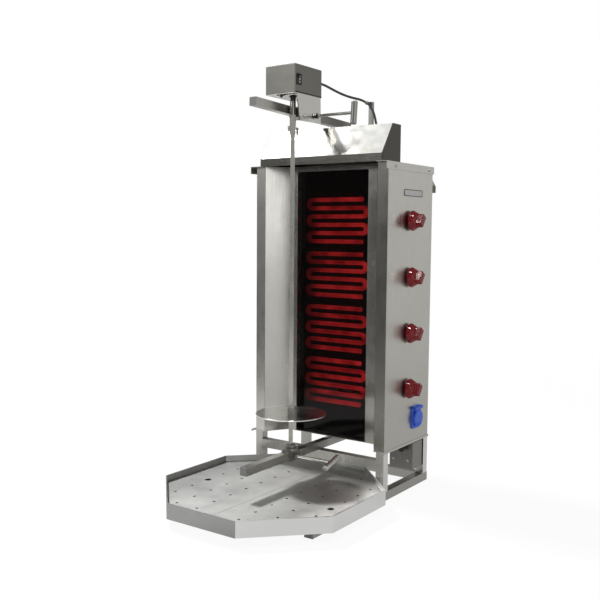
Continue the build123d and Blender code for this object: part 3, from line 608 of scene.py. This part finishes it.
class Finish(Nodes):
    """A material being made."""

    def __init__(self, name, **values):
        self.material = bpy.data.materials.new(name)
        self.material.use_nodes = True
        super().__init__(self.material.node_tree)
        self.shader = self.tree.nodes["Principled BSDF"]
        for socket, value in values.items():
            self.shader.inputs[socket.replace("_", " ")].default_value = value
        self.place = self.add("ShaderNodeTexCoord").outputs["Object"]

    def noise(self, size, stretch=(1, 1, 1), detail=2.0, seed=0.0):
        """Noise with spots of about one size in metres, stretched along each axis."""
        mapping = self.add("ShaderNodeMapping")
        mapping.inputs["Location"].default_value = (seed, seed, seed)
        mapping.inputs["Scale"].default_value = [1 / (size * length) for length in stretch]
        self.join(self.place, mapping.inputs["Vector"])
        made = self.add("ShaderNodeTexNoise")
        made.inputs["Scale"].default_value = 1.0
        made.inputs["Detail"].default_value = detail
        self.join(mapping.outputs["Vector"], made.inputs["Vector"])
        return made.outputs["Fac"]

    def mixed(self, factor, first, second):
        """A colour between two, each a colour or an output."""
        made = self.add("ShaderNodeMix", data_type="RGBA")
        self.join(factor, made.inputs["Factor"])
        for socket, value in ((made.inputs[6], first), (made.inputs[7], second)):
            self.put(socket, (*value, 1) if isinstance(value, tuple) else value)
        return made.outputs[2]

    def away_from(self, centre, near, far):
        """How far a point is from a place, from 0 when near to 1 when far."""
        spread = self.add("ShaderNodeVectorMath", operation="DISTANCE")
        spread.inputs[1].default_value = centre
        self.join(self.place, spread.inputs[0])
        return self.eased(spread.outputs["Value"], near, far)

    def inside(self, where, start, end):
        """How far a point is inside a zone, from 0 at the start to 1 at the end. Where is an axis, two
        sides of an axis, or a centre that the zone lies away from."""
        if isinstance(where, tuple):
            return self.away_from(where, start, end)
        distance = self.part(self.place, where[-1])
        if where.startswith("both sides"):
            distance = self.combine("ABSOLUTE", distance)
        return self.eased(distance, start, end)

    def bump(self, height, depth, strength=1.0):
        """Normals of a surface that rises with an output."""
        made = self.add("ShaderNodeBump")
        made.inputs["Strength"].default_value = strength
        made.inputs["Distance"].default_value = depth
        self.join(height, made.inputs["Height"])
        return made.outputs["Normal"]

    def feed(self, socket, output):
        """Joins an output to the material's shader."""
        self.join(output, self.shader.inputs[socket])


def scaled(colour, factor):
    """A colour made darker or lighter."""
    return tuple(channel * factor for channel in colour)


def steel(
    name, colour, roughness, grain="Z", smudge=0.06, shade=0.06, grain_depth=0.00002, grain_size=0.0007,
    zones=(), smear_size=0.16, spot_size=0.035,
):
    """Stainless steel with a brushed grain along one axis, faint smudges and small differences in tone.
    A zone is (where, start, end, colour), and the tone turns to its colour from the start to the end; the
    zones paint light and shade into the steel."""
    made = Finish(name, Metallic=1.0)
    stretch = [1, 1, 1]
    stretch["XYZ".index(grain)] = 90
    lines = made.noise(grain_size, stretch, detail=1.0)
    smears = made.noise(smear_size, detail=3.0, seed=3.1)
    spots = made.noise(spot_size, seed=7.7)
    rough = made.spread(smears, roughness - smudge, roughness + smudge)
    rough = made.combine("ADD", made.spread(lines, -0.04, 0.04), rough)
    made.feed("Roughness", made.combine("ADD", rough, made.spread(spots, -0.02, 0.03)))
    tone = made.mixed(made.spread(smears, 0, 1), scaled(colour, 1 - shade), scaled(colour, 1 + shade))
    tone = made.mixed(made.spread(lines, 0, 0.35), tone, scaled(colour, 0.85))
    # Zones paint light and shade: painted shade where they darken the tone, painted light where they
    # brighten it.
    for where, start, end, zone_colour in zones:
        tone = made.mixed(made.inside(where, start, end), tone, zone_colour)
    made.feed("Base Color", tone)
    made.feed("Normal", made.bump(lines, grain_depth, 0.6))
    return made.material


def glass():
    """Dark glass ceramic, a little uneven."""
    made = Finish("dark_glass", Transmission_Weight=1.0, IOR=1.25)
    smears = made.noise(0.12, detail=3.0)
    tone = made.mixed(made.spread(smears, 0, 1), (0.095, 0.062, 0.060), (0.080, 0.052, 0.050))
    made.feed("Base Color", tone)
    made.feed("Roughness", made.spread(smears, 0.03, 0.07))
    return made.material


# Across the heating bands: their reach to each side, and where they turn at the left
band_reach = 0.090
turn_outer = -0.086
turn_inner = -0.058


def element():
    """A heating band at full heat, with cooler and hotter stretches. It is cooler where it turns at the
    left, and warms a little towards the right."""
    made = Finish("glowing_band", Base_Color=(0.20, 0.03, 0.02, 1), Roughness=0.7)
    patches = made.noise(0.030, (1.4, 1, 1), detail=3.0)
    glow = made.mixed(made.spread(patches, 0, 1), (1.0, 0.030, 0.050), (1.0, 0.062, 0.066))
    made.feed("Emission Color", glow)
    across = made.part(made.place, "X")
    turn = made.spread(across, 0.30, 1.0, turn_outer, turn_inner)
    warm = made.combine("MULTIPLY", turn, made.spread(across, 0.80, 1.15, -band_reach, band_reach))
    made.feed("Emission Strength", made.combine("MULTIPLY", made.spread(patches, 0.9, 2.6), warm))
    made.feed("Normal", made.bump(patches, 0.0005))
    return made.material


def plastic(name, colour, roughness, grain=0.0, mottle=0.06, ior=1.5):
    """Moulded plastic with a fine moulding grain and slightly uneven colour."""
    made = Finish(name, IOR=ior)
    cloud = made.noise(0.012)
    skin_grain = made.noise(0.0006, seed=4.0)
    tone = made.mixed(made.spread(cloud, 0, 1), scaled(colour, 1 - mottle), scaled(colour, 1 + mottle))
    made.feed("Base Color", tone)
    made.feed("Roughness", made.spread(cloud, roughness - 0.04, roughness + 0.05))
    made.feed("Normal", made.bump(skin_grain, 0.00002 + grain, 0.5))
    return made.material


def zinc(name, colour, roughness):
    """Bright plated steel with faint cloudy patches."""
    made = Finish(name, Metallic=1.0)
    cloud = made.noise(0.006, detail=3.0)
    tone = made.mixed(made.spread(cloud, 0, 1), scaled(colour, 0.88), scaled(colour, 1.05))
    made.feed("Base Color", tone)
    made.feed("Roughness", made.spread(cloud, roughness - 0.06, roughness + 0.08))
    made.feed("Normal", made.bump(made.noise(0.0012), 0.00002))
    return made.material


def fibre():
    """Pressed fibre board."""
    made = Finish("fibre_board")
    strands = made.noise(0.002, (6, 1, 1), detail=4.0)
    tone = made.mixed(made.spread(strands, 0, 1), (0.030, 0.027, 0.024), (0.055, 0.050, 0.045))
    made.feed("Base Color", tone)
    made.feed("Roughness", made.spread(strands, 0.85, 1.0))
    made.feed("Normal", made.bump(strands, 0.0004))
    return made.material


# Tones that two finishes share
panel_tone = (0.600, 0.590, 0.540)
forward_tone = (0.440, 0.430, 0.395)
dull_tone = (0.300, 0.292, 0.268)

# Zones of the finishes, each painting light or shade into a finish: what they lie along, where they begin,
# where they are full, and their colour
# Painted shade: the right and rear panels darker towards the foot
panel_foot_shade = ("Z", 0.50, 0.15, (0.545, 0.535, 0.486))
# Painted shade: the right panel's front flange darker, as a dark reflection
right_flange_shade = ("Y", 0.1080, 0.1075, (0.290, 0.283, 0.255))
# Painted light: the left panel's front flange lighter, as a bright reflection
left_flange_light = ("Y", 0.1080, 0.1075, (0.70, 0.69, 0.64))
# Painted shade: the glass frame darker towards its foot
frame_foot_shade = ("Z", 0.38, 0.22, (0.380, 0.370, 0.340))
# Painted shade: the hood darker along its lower front lip
hood_lip_shade = ("Z", 0.9619, 0.9617, (0.285, 0.280, 0.252))
# Painted shade: the hood's ends nearly black, for the shade inside them
hood_ends_shade = ("both sides X", 0.2061, 0.2063, (0.066, 0.062, 0.055))
# Painted shade: the drip plates darker towards the left
plates_left_shade = ("X", -0.10, -0.26, (0.340, 0.340, 0.330))
# Painted light: the drip plates lighter towards the right
plates_right_light = ("X", 0.15, 0.24, (0.80, 0.80, 0.78))
# Painted shade: the tray darker on its left side
tray_left_shade = ("X", -0.1117, -0.1120, (0.580, 0.580, 0.570))
# Painted light: the tray lighter on its right side
tray_right_light = ("X", 0.1117, 0.1120, (0.94, 0.94, 0.93))
# Painted shade: the tray's front wall darker
tray_front_shade = ("Y", -0.3971, -0.3974, (0.350, 0.355, 0.345))
# Painted light: the stand's right-facing tube faces lighter
stand_right_light = ("X", 0.2246, 0.2248, (0.80, 0.79, 0.76))
# Painted shade: the top rail darker towards its back, where the motor box shades it
rail_rear_shade = ("Y", -0.05, 0.03, (0.205, 0.195, 0.175))
# Painted shade: the motor cover's right face darker than its front
box_right_shade = ("X", 0.0272, 0.0276, (0.190, 0.184, 0.163))
# Painted shade: the motor cover darker along its top, which dims the lamp's reflection there
box_top_shade = ("Z", 1.1902, 1.1910, (0.10, 0.097, 0.09))
# Painted shade: the bracket cheek's right face nearly black
cheek_right_shade = ("X", 0.0282, 0.0286, (0.045, 0.043, 0.040))
# Painted highlight: the meat disc light round its rim
disc_middle = (-0.004, -0.017, 0.2415)
disc_rim_highlight = (disc_middle, 0.0950, 0.0975, (0.96, 0.95, 0.93))

finishes = {
    "panel": steel("panel_steel", panel_tone, 0.30, zones=(panel_foot_shade, right_flange_shade)),
    "panel_left": steel("panel_steel_left", panel_tone, 0.32, smudge=0.03, zones=(left_flange_light,)),
    "panel_flat": steel("panel_steel_across", (0.600, 0.590, 0.545), 0.30, "X"),
    "inner": steel("inner_steel", (0.290, 0.282, 0.265), 0.36),
    "bright": steel("bright_steel", (0.700, 0.690, 0.650), 0.18, smudge=0.04),
    "frame": steel("frame_steel", (0.560, 0.550, 0.515), 0.20, smudge=0.04, zones=(frame_foot_shade,)),
    "hood": steel(
        "hood_steel", (0.680, 0.675, 0.650), 0.20, "X", smudge=0.005, shade=0.02, grain_depth=0.000003,
        zones=(hood_lip_shade, hood_ends_shade),
    ),
    "plate": steel(
        "plate_steel", (0.470, 0.470, 0.458), 0.50, "Y", smudge=0.03, zones=(plates_left_shade, plates_right_light),
    ),
    "tray": steel(
        "tray_steel", (0.800, 0.800, 0.785), 0.30, "X", smudge=0.05,
        zones=(tray_left_shade, tray_right_light, tray_front_shade),
    ),
    "tube": steel("tube_steel", (0.500, 0.490, 0.455), 0.26, zones=(stand_right_light,)),
    "post": steel("post_steel", dull_tone, 0.27, grain_depth=0.00001),
    "tube_y": steel("tube_steel_forward", forward_tone, 0.27, "Y"),
    "top_rail": steel("top_rail_steel", forward_tone, 0.27, "Y", zones=(rail_rear_shade,)),
    "motor_box": steel(
        "motor_box_steel", (0.300, 0.293, 0.265), 0.46, "X", grain_depth=0.000004,
        zones=(box_right_shade, box_top_shade),
    ),
    "base": steel("motor_base_steel", (0.600, 0.590, 0.550), 0.30, "X", grain_depth=0.00004),
    "bracket": steel(
        "bracket_steel", (0.590, 0.580, 0.535), 0.26, grain_depth=0.00001, zones=(cheek_right_shade,),
    ),
    "handle": steel("handle_steel", dull_tone, 0.28, "X", grain_depth=0.000005),
    "bearing": steel("bearing_steel", (0.300, 0.295, 0.275), 0.34, "X", grain_depth=0.000005),
    "weld": steel("weld_steel", (0.440, 0.420, 0.370), 0.34, "X", shade=0.2, grain_depth=0.00004),
    "spit": steel("spit_steel", (0.490, 0.477, 0.430), 0.25, grain_size=0.0004),
    "disc": steel(
        "disc_steel", (0.340, 0.333, 0.315), 0.20, "X", smudge=0.03, grain_depth=0.00001,
        zones=(disc_rim_highlight,),
    ),
    "dark": zinc("dark_steel", (0.10, 0.10, 0.10), 0.45),
    "zinc": zinc("zinc_plate", (0.62, 0.61, 0.58), 0.24),
    "plate_field": zinc("name_plate_steel", (0.52, 0.52, 0.50), 0.36),
    "cast": plastic("cast_grey", (0.10, 0.10, 0.11), 0.55, grain=0.0002),
    "glass": glass(),
    "element": element(),
    "fibre": fibre(),
    "red": plastic("red_plastic", (0.165, 0.002, 0.006), 0.10, mottle=0.02, ior=1.42),
    "blue": plastic("blue_plastic", (0.030, 0.105, 0.60), 0.38),
    "black": plastic("black_plastic", (0.014, 0.014, 0.014), 0.45),
    "grey": plastic("grey_plastic", (0.22, 0.22, 0.21), 0.45),
    "cable": plastic("cable_sheath", (0.035, 0.036, 0.040), 0.42, grain=0.00003),
    "mark": plastic("white_mark", (0.70, 0.70, 0.68), 0.5),
}

node_finish = {
    "panel": ("side_panel_right", "rear_panel"),
    "panel_left": ("side_panel_left",),
    "panel_flat": ("lid", "bottom_plate"),
    "inner": ("junction_box", "junction_box_cover"),
    "bright": ("side_reflectors",),
    "frame": ("glass_frame",),
    "hood": ("hood",),
    "plate": ("drip_plate_left", "drip_plate_right"),
    "tray": ("drip_tray", "tray_ledges"),
    "tube": ("stand_frame", "rail_column", "wall_spacers"),
    "post": ("cable_post",),
    "tube_y": ("stand_runners", "bottom_rail"),
    "top_rail": ("top_rail",),
    "motor_box": ("motor_cover",),
    "base": ("motor_base", "lower_clamp_handle"),
    "bracket": ("carriage_bracket",),
    "handle": ("top_clamp_handle", "locking_pin"),
    "bearing": ("spit_bearing", "carriage_saddle", "lower_saddle"),
    "spit": ("spit", "drive_shaft", "disc_collar"),
    "disc": ("meat_disc",),
    "dark": ("heater_pan", "shaft_bushing"),
    "zinc": ("housing_fasteners", "knob_spindle_1", "knob_spindle_2", "knob_spindle_3", "knob_spindle_4"),
    "cast": ("gear_motor",),
    "glass": ("glass_panel",),
    "element": ("heating_elements",),
    "fibre": ("insulation_board",),
    "red": ("knob_1", "knob_2", "knob_3", "knob_4"),
    "blue": ("socket_body", "socket_lid"),
    "black": ("lid_gland", "motor_gland", "mains_gland", "rocker_bezel", "rocker_switch", "regulators"),
    "grey": ("tube_end_caps", "terminal_block"),
    "cable": ("motor_cable",),
}
piece_finish = {
    "cable": ("motor_cable_sheath",),
    "red": ("knob_form_1", "knob_form_2", "knob_form_3", "knob_form_4"),
    "plate_field": ("name_plate",),
    "bright": ("name_plate_rivets",),
    "black": (
        "name_plate_shade_border", "screw_recess_shades", "motor_stud_and_shade_strip", "motor_cable_boot", "lid_cable_boot",
    ),
    "zinc": ("bracket_stub",),
    "mark": ("switch_marks",),
    "weld": ("stand_welds", "bracket_welds"),
}


def dress(piece, finish):
    """Gives a piece one of the finishes."""
    if piece.material_slots:
        for held in piece.material_slots:
            held.material = finishes[finish]
    else:
        piece.data.materials.append(finishes[finish])


for table, objects in ((node_finish, nodes), (piece_finish, bpy.data.objects)):
    for finish, names in table.items():
        for name in names:
            dress(objects[name], finish)


# Floor

floor_size = 30
floor_middle = (0, 0.1, 0)
floor_near = 0.9
floor_far = 3.0
floor_white = 0.92
far_white_gain = 0.08
floor_reflected = 0.52
far_reflected_gain = 0.10
strip_gain = 0.40
strip_edges = (0.25, 0.50)
dark_loss = 0.90
dark_edges = (0.75, 1.6)


def make_floor():
    """A plain pale floor that shows as white and keeps a soft shadow. In reflections it is greyer, with a
    brighter strip towards the dark side of the studio, and dark beyond that strip."""
    work = bmesh.new()
    bmesh.ops.create_grid(work, x_segments=8, y_segments=8, size=floor_size)
    floor = piece_from("floor", work)
    made = Finish("floor_white", Base_Color=(0.85, 0.85, 0.85, 1), Roughness=0.9)
    seen, glossy = made.rays()
    distance = made.away_from(floor_middle, floor_near, floor_far)
    toward_dark = made.facing(made.place, dark_side)
    level = made.plus(floor_reflected, distance, far_reflected_gain)
    level = made.plus(level, made.eased(toward_dark, *strip_edges), strip_gain)
    level = made.plus(level, made.eased(toward_dark, *dark_edges), -dark_loss)
    white = made.add("ShaderNodeEmission")
    white.inputs["Color"].default_value = (1, 1, 1, 1)
    strength = made.combine("MAXIMUM", seen, made.combine("MULTIPLY", glossy, level))
    made.join(strength, white.inputs["Strength"])
    share = made.plus(floor_white, distance, far_white_gain)
    blend = made.add("ShaderNodeMixShader")
    made.join(made.combine("MULTIPLY", made.combine("MAXIMUM", seen, glossy), share), blend.inputs[0])
    made.join(made.shader.outputs[0], blend.inputs[1])
    made.join(white.outputs[0], blend.inputs[2])
    made.join(blend.outputs[0], made.tree.nodes["Material Output"].inputs["Surface"])
    floor.data.materials.append(made.material)


make_floor()


# World

studio_light = 0.70
studio_dark = 0.10
studio_edges = (-0.15, 0.70)
ceiling_light = 0.36
ceiling_edges = (0.30, 0.55)
plain_light = 0.38

# Soft patches of the studio in reflections: direction, gain, where each begins and where it is full
studio_patches = (
    ((-0.46, -0.42, 0.78), 0.50, 0.80, 0.95),
    ((0.92, -0.39, 0), 0.50, 0.75, 0.97),
    ((-0.56, 0.78, 0.28), -0.40, 0.60, 0.95),
)


def make_world():
    """White where the camera and glass look, a soft studio with a dark side for reflections, and plain
    light for matt surfaces."""
    world = bpy.data.worlds.new("studio")
    scene.world = world
    world.use_nodes = True
    made = Nodes(world.node_tree)
    made.tree.nodes.clear()
    direction = made.add("ShaderNodeTexCoord").outputs["Generated"]
    walls = made.eased(made.facing(direction, dark_side), *studio_edges, studio_light, studio_dark)
    above = made.eased(made.part(direction, "Z"), *ceiling_edges)
    ceiling = made.combine("MULTIPLY", made.combine("SUBTRACT", ceiling_light, walls), above)
    reflected = made.combine("ADD", walls, ceiling)
    for centre, gain, start, end in studio_patches:
        patch = made.eased(made.facing(direction, centre), start, end, 0.0, gain)
        reflected = made.combine("ADD", reflected, patch)
    seen, glossy = made.rays()
    plain = made.combine("MULTIPLY", made.combine("SUBTRACT", 1.0, glossy), plain_light)
    lit = made.combine("ADD", made.combine("MULTIPLY", reflected, glossy), plain)
    hidden = made.combine("MULTIPLY", made.combine("SUBTRACT", 1.0, seen), lit)
    background = made.add("ShaderNodeBackground")
    background.inputs["Color"].default_value = (1, 1, 1, 1)
    made.join(made.combine("ADD", seen, hidden), background.inputs["Strength"])
    output = made.add("ShaderNodeOutputWorld")
    made.join(background.outputs[0], output.inputs["Surface"])


make_world()


# Lamps, with sizes in metres and power in watts

def make_lamp(name, place, target, size, power):
    """A square lamp that looks at its target and that the camera does not see."""
    data = bpy.data.lights.new(name, "AREA")
    data.shape = "SQUARE"
    data.size = size
    data.energy = power
    lamp = new_piece(name, data)
    lamp.location = place
    lamp.rotation_euler = (Vector(target) - Vector(place)).to_track_quat("-Z", "Y").to_euler()
    lamp.visible_camera = False


make_lamp("left_lamp", place=(-1.80, 0.22, 2.85), target=(0, -0.1, 0.25), size=0.36, power=125)
make_lamp("right_lamp", place=(1.56, -0.82, 3.42), target=(0, 0.1, 0.5), size=0.34, power=36)
make_lamp("front_lamp", place=(-1.8, -3.4, 2.6), target=(0, 0, 0.6), size=2.2, power=30)

scene.view_settings.view_transform = "Standard"
